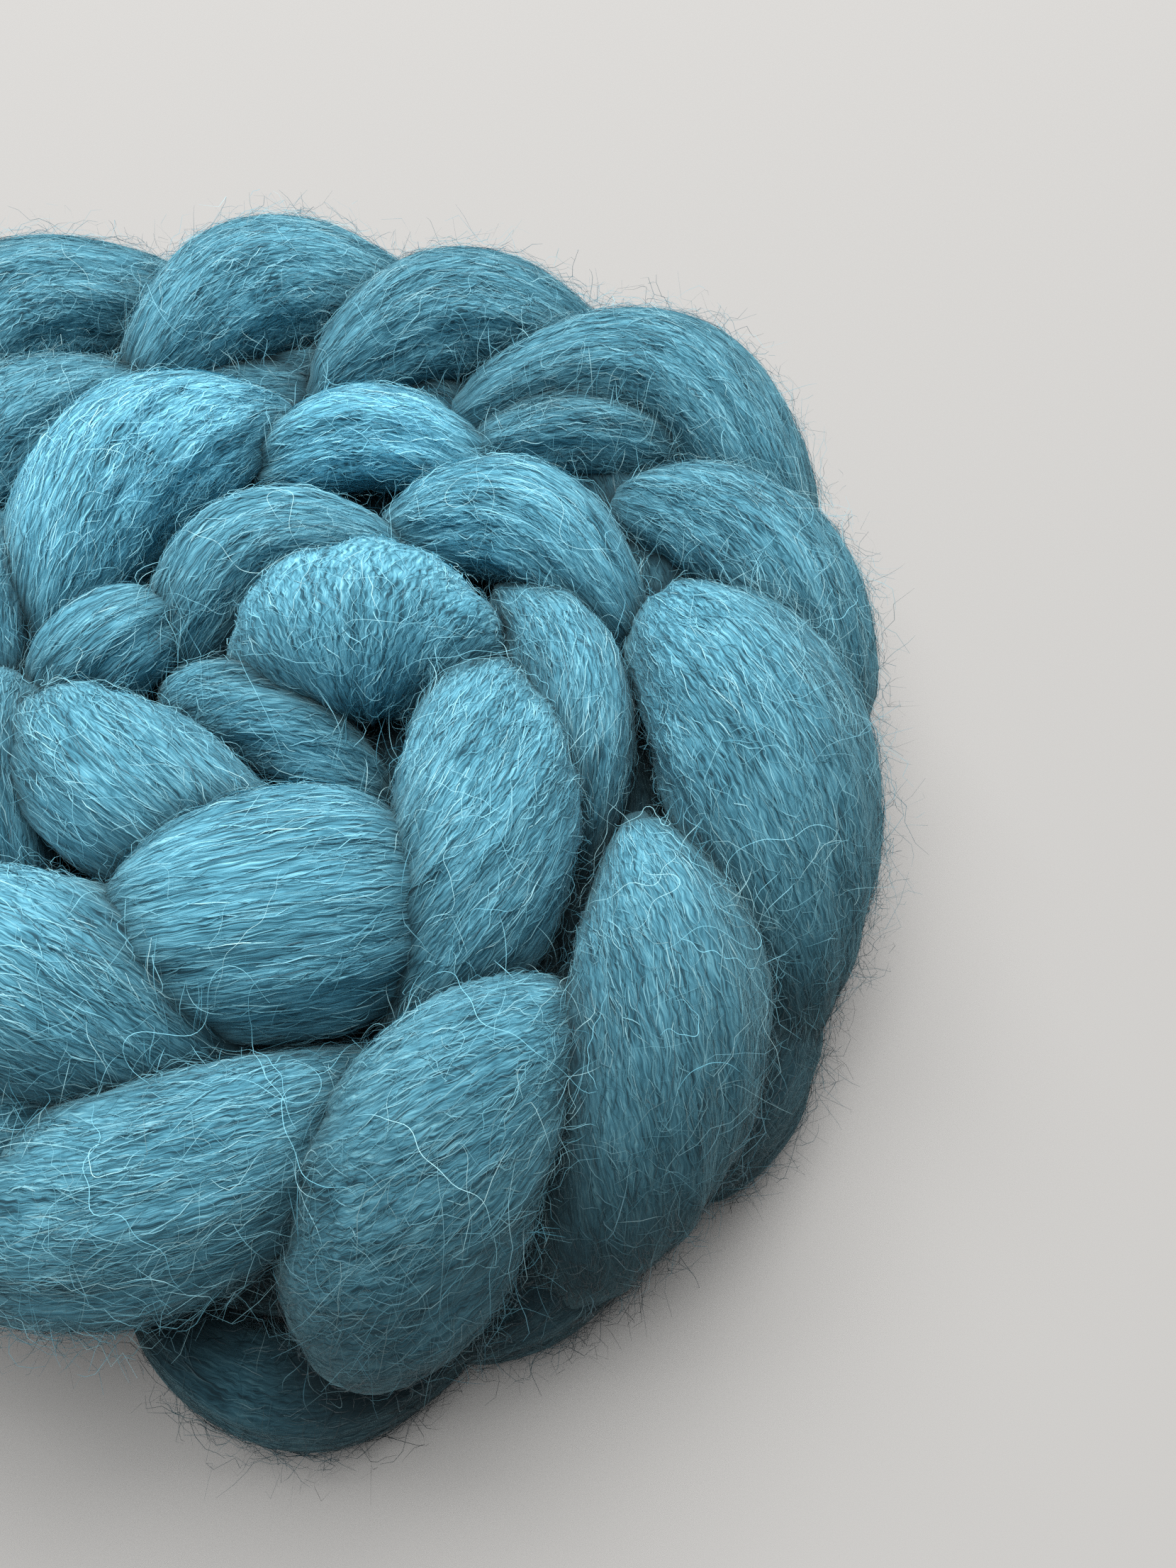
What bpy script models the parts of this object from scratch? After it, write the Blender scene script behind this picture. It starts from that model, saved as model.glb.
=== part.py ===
# Wool roving: one length of combed wool top, looped by hand into a chain and
# wound into a flat coil that rests on its underside.  Metres, +Z up.
import math
from collections import namedtuple

import bmesh
import bpy
from mathutils import Matrix, Vector

MM = 0.001

# Sizes that drive the whole coil, in millimetres.
HEART_RADIUS = 86.0      # wool packed between the turns, out of sight
HEART_LOW = 8.0
HEART_HIGH = 26.0
SLAB_DEPTH = 20.0        # wool below the resting face is pressed away
SLAB_WIDTH = 320.0
RING_END_RISE = 2.0      # ends of the under folds sit this much above their middles
PLUMPNESS = 0.8          # below 1 a fold swells quickly from its tips

# How finely the shape is worked out.
STATIONS = 17            # points along each fold
STRAND_SIDES = 20        # sides round the strand
HEART_SIDES = 48
FUSE_CELL = 1.9          # cell size the folds are fused at, in millimetres
WELD = 0.01              # distance that loose strand ends are welded over
TRIANGLE_BUDGET = 10500  # triangles left once the fused coil is thinned out

# One row for each fold of the chain that shows on the upper face.  A fold runs
# from where it comes out of the stitch before it to where it is drawn under
# the next one; bow pushes its middle to the left of that line, girth is the
# half thickness at its fullest place, and tip_in and tip_out are the two ends
# as shares of the girth.
Fold = namedtuple("Fold", "x0 y0 z0 x1 y1 z1 bow z_mid girth full tip_in tip_out")
UPPER_FOLDS = (
    # outermost row, clockwise from the far left
    Fold(-76, 59, 32, -33, 103, 26, 14, 38, 14.5, 0.50, 0.50, 0.40),
    Fold(-36, 75, 32, 22, 101, 26, 12, 38, 15.0, 0.45, 0.45, 0.40),
    Fold(3, 73, 32, 62, 86, 26, 11, 38, 14.5, 0.45, 0.45, 0.40),
    Fold(35, 64, 32, 96, 38, 26, 17, 38, 15.0, 0.55, 0.45, 0.45),
    Fold(67, 42, 34, 102, -10, 22, 8, 37, 14.0, 0.35, 0.55, 0.45),
    Fold(76, 18, 34, 90, -66, 20, 5, 38, 17.5, 0.52, 0.50, 0.35),
    Fold(67, -28, 30, 50, -103, 16, 9, 39, 15.5, 0.47, 0.25, 0.45),
    Fold(50, -56, 31, 19, -114, 16, 0, 39, 16.0, 0.55, 0.25, 0.40),
    Fold(27, -69, 28, -38, -90, 22, 9, 38, 16.0, 0.54, 0.25, 0.45),
    Fold(-14, -74, 28, -74, -68, 22, 11, 38, 15.5, 0.50, 0.30, 0.45),
    Fold(-49, -58, 30, -97, -25, 22, 12, 38, 15.5, 0.50, 0.30, 0.45),
    Fold(-71, -28, 30, -99, 28, 22, 10, 38, 15.5, 0.50, 0.30, 0.45),
    Fold(-78, 14, 30, -76, 74, 22, 12, 38, 15.0, 0.50, 0.35, 0.45),
    # second row, clockwise from the far left
    Fold(-76, 30, 32, -36, 73, 32, 3, 39, 13.5, 0.50, 0.50, 0.40),
    Fold(-43, 11, 32, -4, 65, 30, 9, 41, 15.5, 0.55, 0.40, 0.30),
    Fold(-11, 46, 30, 40, 49, 30, 5, 38, 12.5, 0.45, 0.45, 0.40),
    Fold(18, 33, 30, 66, 8, 30, 11, 40, 12.5, 0.55, 0.40, 0.40),
    Fold(44, 20, 32, 62, -42, 30, 6, 39, 11.5, 0.40, 0.50, 0.45),
    Fold(37, -2, 30, 32, -64, 28, 7, 41, 15.0, 0.45, 0.30, 0.40),
    Fold(33, -38, 28, -16, -47, 28, 4, 40, 20.0, 0.44, 0.40, 0.40),
    Fold(6, -66, 28, -56, -56, 28, -1, 41, 18.0, 0.58, 0.25, 0.45),
    Fold(-42, -48, 30, -50, -4, 32, 2, 41, 13.5, 0.50, 0.50, 0.50),
    Fold(-53, -16, 32, -56, 34, 32, 3, 39, 13.5, 0.50, 0.50, 0.50),
    Fold(-54, -46, 30, -80, -4, 30, 4, 39, 13.5, 0.50, 0.50, 0.50),
    Fold(-72, -14, 30, -70, 42, 30, 4, 39, 13.5, 0.50, 0.50, 0.50),
    # heart of the coil
    Fold(-19, 5, 30, 21, 28, 32, 10, 39, 12.0, 0.45, 0.45, 0.40),
    Fold(-4, 1, 30, 44, 3, 30, 3, 41, 17.0, 0.47, 0.25, 0.30),
    Fold(-38, -8, 32, 8, -33, 26, -6, 41, 15.5, 0.50, 0.45, 0.35),
    Fold(-18, -1, 32, 24, -21, 28, -1, 38, 11.0, 0.50, 0.45, 0.45),
    Fold(-38, -4, 32, -18, 14, 32, 0, 38, 10.0, 0.45, 0.55, 0.50),
)

# Folds of the underside that show past the near edge of the upper face.
EDGE_FOLDS = (
    Fold(93, 2, 16, 86, -50, 16, 3, 14.0, 14.5, 0.50, 0.45, 0.45),
    Fold(93, -36, 16, 68, -80, 16, 4, 14.0, 14.5, 0.50, 0.45, 0.45),
    Fold(80, -68, 16, 36, -97, 16, 5, 14.0, 14.5, 0.50, 0.45, 0.45),
    Fold(47, -97, 16, -8, -98, 16, 8, 14.0, 14.5, 0.50, 0.45, 0.45),
)

# The folds under the upper face lie in rings.  Each row is one ring or part of
# one: how far out its folds lie, how many there are, the bearings of the first
# and last, how thick they are, how high their middles sit and how far they
# slant outward.
Ring = namedtuple("Ring", "reach folds first_deg last_deg girth height slant")
LOWER_RINGS = (
    Ring(91, 12, 199, 438, 16.5, 14.5, 6),
    Ring(84, 5, 88, 184, 14.0, 12.5, 3),
    Ring(61, 10, 0, 324, 16.5, 14.5, 7),
    Ring(27, 5, 20, 308, 16.5, 14.5, 5),
    Ring(78, 5, -44, 64, 13.0, 25.0, -5),
)
RING_OVERLAP = 1.5  # length of a ring fold, as a share of the step to the next


def lower_folds(ring):
    """The folds of one ring, each slanting outward as it goes clockwise."""
    step = math.radians(ring.last_deg - ring.first_deg) / (ring.folds - 1)
    half_sweep = step * RING_OVERLAP / 2
    near, far = ring.reach - ring.slant, ring.reach + ring.slant / 2
    bow = ring.reach * (1 - math.cos(half_sweep))
    ends = ring.height + RING_END_RISE
    for number in range(ring.folds):
        middle = math.radians(ring.first_deg) + number * step
        start, end = middle - half_sweep, middle + half_sweep
        yield Fold(
            near * math.sin(start), near * math.cos(start), ends,
            far * math.sin(end), far * math.cos(end), ends,
            bow, ring.height, ring.girth, full=0.5, tip_in=0.5, tip_out=0.45,
        )


def along(fold, share):
    """Point and half thickness of a fold at one share of its length."""
    run_x = fold.x1 - fold.x0
    run_y = fold.y1 - fold.y0
    run = math.hypot(run_x, run_y)
    arch = math.sin(math.pi * share)
    x = fold.x0 + run_x * share - run_y / run * fold.bow * arch
    y = fold.y0 + run_y * share + run_x / run * fold.bow * arch
    level = fold.z0 + (fold.z1 - fold.z0) * share
    z = level + (fold.z_mid - (fold.z0 + fold.z1) / 2) * arch
    if share < fold.full:
        tip, rest = fold.tip_in, share / fold.full
    else:
        tip, rest = fold.tip_out, (1 - share) / (1 - fold.full)
    swell = math.sin(math.pi / 2 * rest) ** PLUMPNESS
    return (x, y, z), fold.girth * (tip + (1 - tip) * swell)


def add_fold(curve, fold):
    """Lay one fold as a strand of changing thickness."""
    spline = curve.splines.new("POLY")
    spline.points.add(STATIONS - 1)
    for number, point in enumerate(spline.points):
        place, half = along(fold, number / (STATIONS - 1))
        point.co = (*(MM * value for value in place), 1)
        point.radius = half


def placed(name, data, holder):
    """Put mesh or curve data into a collection as a named object."""
    made = bpy.data.objects.new(name, data)
    holder.objects.link(made)
    return made


def worked_out(name, source):
    """Mesh of an object with its curve bevel and modifiers applied."""
    graph = bpy.context.evaluated_depsgraph_get()
    graph.update()
    mesh = bpy.data.meshes.new_from_object(source.evaluated_get(graph))
    mesh.name = name
    mesh.transform(source.matrix_world)
    return mesh


def triangle_count(mesh):
    """Triangles a mesh comes to."""
    return sum(len(face.vertices) - 2 for face in mesh.polygons)


def keep_outer_skin(mesh):
    """Drop the skins of any pockets closed off inside the body."""
    shape = bmesh.new()
    shape.from_mesh(mesh)
    unseen = set(shape.verts)
    skins = []
    while unseen:
        front = [unseen.pop()]
        skin = set(front)
        while front:
            near = {edge.other_vert(vert) for vert in front for edge in vert.link_edges}
            front = list(near - skin)
            skin.update(front)
        unseen -= skin
        skins.append(skin)
    outer = max(skins, key=len)
    pockets = [vert for vert in shape.verts if vert not in outer]
    bmesh.ops.delete(shape, geom=pockets, context="VERTS")
    shape.to_mesh(mesh)
    shape.free()


def centre_over_origin(mesh):
    """Move a mesh sideways until its bounding box is centred on the origin."""
    xs = [vert.co.x for vert in mesh.vertices]
    ys = [vert.co.y for vert in mesh.vertices]
    shift = Vector((-(min(xs) + max(xs)) / 2, -(min(ys) + max(ys)) / 2, 0))
    mesh.transform(Matrix.Translation(shift))
    print("moved by", [round(value / MM, 2) for value in shift])


for old in list(bpy.data.objects):
    bpy.data.objects.remove(old, do_unlink=True)

coil_parts = bpy.data.collections.new("wool_roving")
tools = bpy.data.collections.new("cutters")
bpy.context.scene.collection.children.link(coil_parts)
bpy.context.scene.collection.children.link(tools)

# --- the folds of the strand ------------------------------------------------
strand = bpy.data.curves.new("strand_path", "CURVE")
strand.dimensions = "3D"
strand.bevel_depth = MM
strand.bevel_resolution = STRAND_SIDES // 4 - 1
strand.use_fill_caps = True
for fold in UPPER_FOLDS + EDGE_FOLDS:
    add_fold(strand, fold)
for ring in LOWER_RINGS:
    for fold in lower_folds(ring):
        add_fold(strand, fold)
strand_object = placed("strand_path", strand, tools)
folds_mesh = worked_out("folds", strand_object)
bpy.data.objects.remove(strand_object, do_unlink=True)

# --- fuse folds and heart into one body -------------------------------------
shell = bmesh.new()
shell.from_mesh(folds_mesh)
bmesh.ops.remove_doubles(shell, verts=shell.verts, dist=WELD * MM)
heart_verts = bmesh.ops.create_cone(
    shell, cap_ends=True, segments=HEART_SIDES,
    radius1=HEART_RADIUS * MM, radius2=HEART_RADIUS * MM,
    depth=(HEART_HIGH - HEART_LOW) * MM,
)["verts"]
heart_middle = (HEART_HIGH + HEART_LOW) / 2
bmesh.ops.translate(shell, verts=heart_verts, vec=(0, 0, heart_middle * MM))
shell.to_mesh(folds_mesh)
shell.free()

fused = placed("fused_folds", folds_mesh, tools)
fuse = fused.modifiers.new("fuse", "REMESH")
fuse.mode = "VOXEL"
fuse.voxel_size = FUSE_CELL * MM
settle = fused.modifiers.new("settle", "SMOOTH")
settle.factor = 0.5
settle.iterations = 1
fine_mesh = worked_out("fine_body", fused)
bpy.data.objects.remove(fused, do_unlink=True)

thinned = placed("thinned_body", fine_mesh, tools)
thin = thinned.modifiers.new("thin", "DECIMATE")
thin.ratio = TRIANGLE_BUDGET / triangle_count(fine_mesh)
body_mesh = worked_out("roving_body", thinned)
bpy.data.objects.remove(thinned, do_unlink=True)
keep_outer_skin(body_mesh)
centre_over_origin(body_mesh)
body_mesh.shade_smooth()

# --- press the underside flat -----------------------------------------------
roving = placed("roving", body_mesh, coil_parts)
slab_mesh = bpy.data.meshes.new("slab")
slab_shape = bmesh.new()
bmesh.ops.create_cube(slab_shape, size=1)
bmesh.ops.scale(
    slab_shape, verts=slab_shape.verts,
    vec=(SLAB_WIDTH * MM, SLAB_WIDTH * MM, SLAB_DEPTH * MM),
)
bmesh.ops.translate(slab_shape, verts=slab_shape.verts, vec=(0, 0, -SLAB_DEPTH / 2 * MM))
slab_shape.to_mesh(slab_mesh)
slab_shape.free()
slab = placed("slab", slab_mesh, tools)
slab.hide_render = True
slab.display_type = "WIRE"
press = roving.modifiers.new("press", "BOOLEAN")
press.operation = "DIFFERENCE"
press.solver = "EXACT"
press.object = slab

wool = bpy.data.materials.new("teal_wool")
wool.use_nodes = True
skin = wool.node_tree.nodes["Principled BSDF"]
skin.inputs["Base Color"].default_value = (0.060, 0.225, 0.300, 1)
skin.inputs["Roughness"].default_value = 0.9
roving.data.materials.append(wool)
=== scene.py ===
import math
from collections import namedtuple

import bpy
import numpy as np
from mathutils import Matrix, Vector


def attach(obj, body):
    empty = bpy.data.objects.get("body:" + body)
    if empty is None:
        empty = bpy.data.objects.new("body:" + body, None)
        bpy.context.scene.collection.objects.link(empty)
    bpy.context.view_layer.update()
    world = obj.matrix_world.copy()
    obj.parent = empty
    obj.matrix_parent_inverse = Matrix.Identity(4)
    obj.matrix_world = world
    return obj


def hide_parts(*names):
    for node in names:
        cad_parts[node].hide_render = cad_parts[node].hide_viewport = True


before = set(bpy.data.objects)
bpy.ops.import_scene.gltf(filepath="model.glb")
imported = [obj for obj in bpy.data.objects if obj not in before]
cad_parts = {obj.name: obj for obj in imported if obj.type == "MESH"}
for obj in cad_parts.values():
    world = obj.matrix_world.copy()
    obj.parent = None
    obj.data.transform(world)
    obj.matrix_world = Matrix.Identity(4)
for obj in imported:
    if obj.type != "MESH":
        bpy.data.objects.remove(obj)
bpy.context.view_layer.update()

# ---------------------------------------------------------------------------
# The folds on the upper face.  A thick soft strand of combed wool top is drawn
# through itself in a hand chain, and each stitch shows as one plump fold whose
# ends are tucked under its neighbours.  Nothing holds them but the wool.
# ---------------------------------------------------------------------------

# A fold runs from (x0, y0, z0) to (x1, y1, z1), in millimetres.  bow pushes its
# middle to the left of that line, z_mid lifts it, girth is the half thickness at
# its fullest place, full is where that is, tip_in and tip_out are the two ends as
# shares of the girth, and lay_in and lay_out are the angles of the fibres to the
# fold at its two ends.
Fold = namedtuple(
    "Fold", "x0 y0 z0 x1 y1 z1 bow z_mid girth full tip_in tip_out lay_in lay_out")
X0, Y0, X1, Y1, GIRTH, LAY_IN, LAY_OUT = (
    Fold._fields.index(column) for column in "x0 y0 x1 y1 girth lay_in lay_out".split())
OUTER_ROW = (
    Fold(-76, 59, 32, -30, 104, 26, 14, 38, 14.5, 0.50, 0.50, 0.55, -20, 10),
    Fold(-36, 75, 32, 22, 101, 26, 12, 38, 15.0, 0.45, 0.45, 0.40, -12, 20),
    Fold(3, 73, 32, 62, 86, 26, 11, 38, 14.5, 0.45, 0.45, 0.40, -20, 20),
    Fold(34, 67, 32, 97, 41, 26, 17, 38, 15.0, 0.52, 0.50, 0.45, -10, 5),
    Fold(66, 41, 33, 103, -2, 26, 7.5, 38, 13.0, 0.50, 0.55, 0.50, -20, 10),
    Fold(74, 15, 28, 87, -58, 10, 7, 37, 18.0, 0.44, 0.60, 0.40, -12, 62),
    Fold(66, -28, 29, 51, -95, 11, 10, 34.5, 16.4, 0.60, 0.25, 0.50, 5, 72),
    Fold(53, -57, 30, 24, -105, 15, -2, 40, 17.4, 0.72, 0.10, 0.50, -32, -80),
    Fold(27, -69, 28, -38, -90, 22, 9, 38, 16.0, 0.54, 0.25, 0.45, -18, -5),
    Fold(-14, -74, 28, -74, -68, 22, 11, 38, 15.5, 0.50, 0.30, 0.45, -18, 5),
    Fold(-49, -58, 30, -97, -25, 22, 12, 38, 15.5, 0.50, 0.30, 0.45, -22, 0),
    Fold(-71, -28, 30, -99, 28, 22, 10, 38, 15.5, 0.50, 0.30, 0.45, -12, 12),
    Fold(-78, 14, 30, -76, 74, 22, 12, 38, 15.0, 0.50, 0.35, 0.45, -18, 8),
)
SECOND_ROW = (
    Fold(-76, 30, 32, -36, 73, 32, 3, 39, 13.5, 0.50, 0.50, 0.40, -10, 22),
    Fold(-43, 11, 32, -4, 65, 30, 9, 41, 15.5, 0.55, 0.40, 0.30, -15, 34),
    Fold(-11, 50, 30, 39, 51, 30, 6, 38, 9.8, 0.45, 0.50, 0.45, -20, 18),
    Fold(18, 35, 30, 64, 13, 30, 9, 40, 11.5, 0.50, 0.40, 0.45, -18, 18),
    Fold(43, 20, 31, 54, -34, 26, 7, 38, 9.2, 0.42, 0.60, 0.40, -12, 6),
    Fold(36, 0, 31, 31, -62, 27, 7, 41, 15.0, 0.52, 0.50, 0.55, -42, -30),
    Fold(28, -41, 28, -18, -49, 27, 3, 40, 20.2, 0.36, 0.50, 0.30, 4, -2),
    Fold(6, -66, 28, -56, -56, 28, -1, 41, 18.0, 0.58, 0.25, 0.45, -32, -24),
    Fold(-39, -47, 30, -47, -4, 32, 2, 41, 14.5, 0.50, 0.50, 0.50, -10, 25),
    Fold(-53, -16, 32, -56, 34, 32, 3, 39, 13.5, 0.50, 0.50, 0.50, -5, 30),
    Fold(-54, -46, 30, -80, -4, 30, 4, 39, 13.5, 0.50, 0.50, 0.50, -15, 10),
    Fold(-72, -14, 30, -70, 42, 30, 4, 39, 13.5, 0.50, 0.50, 0.50, -12, 12),
    Fold(33, 55, 32, 82, 54, 30, 3, 38, 8.5, 0.50, 0.50, 0.45, -12, 10),
)
HEART_FOLDS = (
    Fold(-19, 5, 30, 21, 28, 32, 10, 39, 12.0, 0.45, 0.45, 0.40, -25, 28),
    Fold(-4, 2, 30, 39, 5, 30, 3, 41, 16.2, 0.47, 0.30, 0.35, 112, 62),
    Fold(-38, -9, 32, 7, -34, 26, -5, 41, 14.5, 0.50, 0.45, 0.35, -6, -36),
    Fold(-17, -1, 31, 19, -19, 27, 1, 37, 8.8, 0.50, 0.50, 0.45, 30, 40),
    Fold(-38, -4, 32, -18, 14, 32, 0, 38, 10.0, 0.45, 0.55, 0.50, -8, 26),
)
UPPER_FOLDS = OUTER_ROW + SECOND_ROW + HEART_FOLDS
COIL_SHIFT = (1.26, 2.34)  # the coil's middle, from where the folds are set out
PLUMPNESS = 0.66           # below 1 a fold swells quickly from its tips
END_CAP = 0.06             # the rounded end past each tip, as a share of the fold


def strand_axis(rows, share):
    """Middle line and half thickness of folds at shares of their lengths."""
    x0, y0, z0, x1, y1, z1, bow, z_mid, girth, full, tip_in, tip_out = rows.T[:LAY_IN, :, None]
    run_x = x1 - x0
    run_y = y1 - y0
    run = np.hypot(run_x, run_y)
    arch = np.sin(np.pi * share)
    x = x0 + run_x * share - run_y / run * bow * arch + COIL_SHIFT[0]
    y = y0 + run_y * share + run_x / run * bow * arch + COIL_SHIFT[1]
    z = z0 + (z1 - z0) * share + (z_mid - (z0 + z1) / 2) * arch
    inward = share < full
    tip = np.where(inward, tip_in, tip_out)
    rest = np.where(inward, share / full, (1 - share) / (1 - full)).clip(0, 1)
    swell = np.sin(np.pi / 2 * rest) ** PLUMPNESS
    past = np.maximum(-share, share - 1).clip(0, END_CAP) / END_CAP
    half = girth * (tip + (1 - tip) * swell) * np.sqrt(1 - past**2)
    return np.stack((x, y, z), axis=-1), half


def plan_length(rows):
    """How long folds are from tip to tip in plan, in mm."""
    return np.hypot(rows[:, X1] - rows[:, X0], rows[:, Y1] - rows[:, Y0])


WRAPPING_FROM = 0.9  # fibres laid steeper than this, in radians, wrap round a fold


def laid_out(rows, share, bearing):
    """Where a place on a fold lies across and along its fibres, in mm."""
    length = plan_length(rows)[:, None]
    along = (share - 0.5) * length
    around = bearing * rows[:, GIRTH, None]
    lay_in, lay_out = np.radians(rows.T[[LAY_IN, LAY_OUT], :, None])
    middle = (lay_in + lay_out) / 2
    turn = lay_out - lay_in
    lay = lay_in + turn * share
    # fibres that run along the fold, and fibres that wrap round it
    bend = turn * along**2 / (2 * length * np.cos(middle))
    lengthwise = around * np.cos(middle) - along * np.sin(middle) - bend
    wrapping = (around / np.tan(np.where(np.abs(lay) > 0.5, lay, 1)) - along) * np.sin(middle)
    across = np.where(np.abs(middle) > WRAPPING_FROM, wrapping, lengthwise)
    return across, along * np.cos(middle) + around * np.sin(middle)


# Locks of fibre stand up in waves of three widths.  lift and width are in
# millimetres, shift sets the waves of one fold apart from the next, and sway
# bends them as they run along it.
Lock = namedtuple("Lock", "lift width shift sway")
LOCKS = (
    Lock(0.42, 11.3, 1.0, 0.9),
    Lock(0.28, 6.1, 2.3, -1.3),
    Lock(0.15, 3.9, 4.1, 2.0),
)
LOCK_SWAY_LENGTH = 9.0


def lock_relief(rows, share, bearing):
    """How far the locks of fibre lift the skin of a fold, in mm."""
    across, along = laid_out(rows, share, bearing)
    own = rows[:, X0, None] * 1.7 + rows[:, Y1, None] * 0.9
    wander = np.sin(along / LOCK_SWAY_LENGTH + own)
    return sum(
        lock.lift * np.sin(across * 2 * np.pi / lock.width + lock.shift * own + lock.sway * wander)
        for lock in LOCKS)


def unit(arrows):
    """Arrows of length one."""
    return arrows / np.linalg.norm(arrows, axis=-1, keepdims=True)


UP = np.array((0.0, 0.0, 1.0))
AXIS_STEP = 0.01    # step for the direction of a fold, as a share of it
FLOOR_LEVEL = 0.15  # lowest wool, in millimetres above the floor


def skin_place(rows, share, bearing, lift=0.0):
    """Places on the skins of folds, in mm, and the way out of the wool there."""
    centre, half = strand_axis(rows, share)
    onward, _ = strand_axis(rows, share + AXIS_STEP)
    back, _ = strand_axis(rows, share - AXIS_STEP)
    run = unit(onward - back)
    above = unit(UP - run * (run @ UP)[..., None])
    left = np.cross(above, run)
    out = np.cos(bearing)[..., None] * above + np.sin(bearing)[..., None] * left
    reach = half + lock_relief(rows, share, bearing) * half / rows[:, GIRTH, None] + lift
    place = centre + out * reach[..., None]
    place[..., 2] = np.maximum(place[..., 2], FLOOR_LEVEL)
    return place, out


MM = 0.001


def mesh_piece(name, points, faces, maps):
    """A smooth mesh from points in mm, with its UV maps."""
    mesh = bpy.data.meshes.new(name)
    mesh.from_pydata(np.asarray(points) * MM, [], faces)
    corners = np.empty(len(mesh.loops), dtype=np.int32)
    mesh.loops.foreach_get("vertex_index", corners)
    for title, places in maps.items():
        layer = mesh.uv_layers.new(name=title, do_init=False)
        values = places if len(places) == len(corners) else places[corners]
        layer.uv.foreach_set("vector", np.asarray(values, dtype=np.float32).ravel())
    mesh.shade_smooth()
    piece = bpy.data.objects.new(name, mesh)
    bpy.context.scene.collection.objects.link(piece)
    return piece


FOLD_SIDES_ABOVE = 44      # faces round the part of a fold that can be seen
FOLD_SIDES_BELOW = 6
ABOVE = math.radians(132)  # how far the finely made part reaches each way
FOLD_STATIONS = 38
CAP_STATIONS = (0.6, 0.9, 1.0)  # places of the points over each rounded end


def skin_grid(fineness):
    """Shares along a fold and bearings round it for the points of its skin."""
    above = np.linspace(-ABOVE, ABOVE, round(FOLD_SIDES_ABOVE * fineness) + 1)
    below = np.linspace(ABOVE, 2 * np.pi - ABOVE, FOLD_SIDES_BELOW + 1)
    caps = np.array(CAP_STATIONS) * END_CAP
    along = np.linspace(0, 1, round(FOLD_STATIONS * fineness))
    return np.concatenate((-caps[::-1], along, 1 + caps)), np.concatenate((above, below[1:]))


BAKE_MARGIN = 0.02  # bare edge round each fold in its map, as a share of its cell
FIBRE_SHIFT = 37.0  # sets the fibres of one fold apart from the next, in mm


def fold_piece(name, folds, fineness=1.0):
    """Folds as skins of one piece, laid out for their fibres."""
    share, bearing = skin_grid(fineness)
    wide = len(bearing)
    grid_share, grid_bearing = np.meshgrid(share, bearing, indexing="ij")
    flat_share, flat_bearing = grid_share.reshape(1, -1), grid_bearing.reshape(1, -1)
    # the map has one square cell for each fold
    cells = math.ceil(math.sqrt(len(folds)))
    part_round = (flat_bearing[0] + ABOVE) / (2 * np.pi)
    part_along = (flat_share[0] + END_CAP) / (1 + 2 * END_CAP)
    used = 1 - 2 * BAKE_MARGIN
    points, faces, fibre_map, bake_map = [], [], [], []
    for number, fold in enumerate(folds):
        rows = np.array([fold], dtype=float)
        start = len(points)
        place, _ = skin_place(rows, flat_share, flat_bearing)
        points.extend(place[0])
        across, along = laid_out(rows, flat_share, flat_bearing)
        fibre_map.extend(np.stack((across[0], along[0] + FIBRE_SHIFT * number), axis=1))
        row, column = divmod(number, cells)
        bake_map.extend(np.stack((
            (column + BAKE_MARGIN + used * part_round) / cells,
            (row + BAKE_MARGIN + used * part_along) / cells,
        ), axis=1))
        for station in range(len(share) - 1):
            for side in range(wide - 1):
                first = start + station * wide + side
                faces.append((first, first + 1, first + 1 + wide, first + wide))
    return mesh_piece(name, points, faces, {
        "OFBake": np.array(bake_map), "fibre": np.array(fibre_map)})


class Thread:
    """A value running through a material, so that maths on it reads as sums."""

    def __init__(self, tree, socket=None):
        self.tree = tree
        self.socket = socket

    def node(self, kind, settings=None, inputs=None, output=0):
        made = self.tree.nodes.new(kind)
        for name, value in (settings or {}).items():
            if name == "stops":
                steps = made.color_ramp.elements
                while len(steps) < len(value):
                    steps.new(0.5)
                for step, (place, colour) in zip(steps, value):
                    step.position = place
                    step.color = colour
            else:
                setattr(made, name, value)
        for name, value in (inputs or {}).items():
            if isinstance(value, Thread):
                self.tree.links.new(value.socket, made.inputs[name])
            else:
                made.inputs[name].default_value = value
        return Thread(self.tree, made.outputs[output])

    def maths(self, operation, first, second=0.0):
        return self.node("ShaderNodeMath", {"operation": operation}, {0: first, 1: second})

    def __add__(self, other):
        return self.maths("ADD", self, other)

    __radd__ = __add__

    def __mul__(self, other):
        return self.maths("MULTIPLY", self, other)

    __rmul__ = __mul__

    def __sub__(self, other):
        return self.maths("SUBTRACT", self, other)

    def __rsub__(self, other):
        return self.maths("SUBTRACT", other, self)


def new_material(name):
    """A material with one Principled shader, and a thread to start from."""
    material = bpy.data.materials.new(name)
    material.use_nodes = True
    shader = material.node_tree.nodes["Principled BSDF"]
    return material, shader, Thread(material.node_tree)


WOOL_SHADES = (
    (0.37, (0.018, 0.080, 0.118, 1)),
    (0.455, (0.058, 0.238, 0.335, 1)),
    (0.555, (0.145, 0.460, 0.610, 1)),
    (0.68, (0.320, 0.760, 0.910, 1)),
)
# painted shade: the colour the wool is darkened toward in creases and low down
PAINTED_SHADE_COLOUR = (0.0035, 0.014, 0.019, 1)  # wool at the bottom of a crease
CRIMP_WAVE = 2.3    # length of one wave of the fibre, in millimetres
CRIMP_DEPTH = 0.08
CRIMP_SHIFT = 26.0  # how far the crimp of one lock is out of step with the next
LOCK_SWAY = 1.6     # how far the locks wander across the fibres, in millimetres

combed_wool, skin, start = new_material("combed_wool")
laid = start.node("ShaderNodeUVMap", {"uv_map": "fibre"})
across_fibres = start.node("ShaderNodeSeparateXYZ", None, {0: laid}, "X")
along_fibres = start.node("ShaderNodeSeparateXYZ", None, {0: laid}, "Y")


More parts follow.
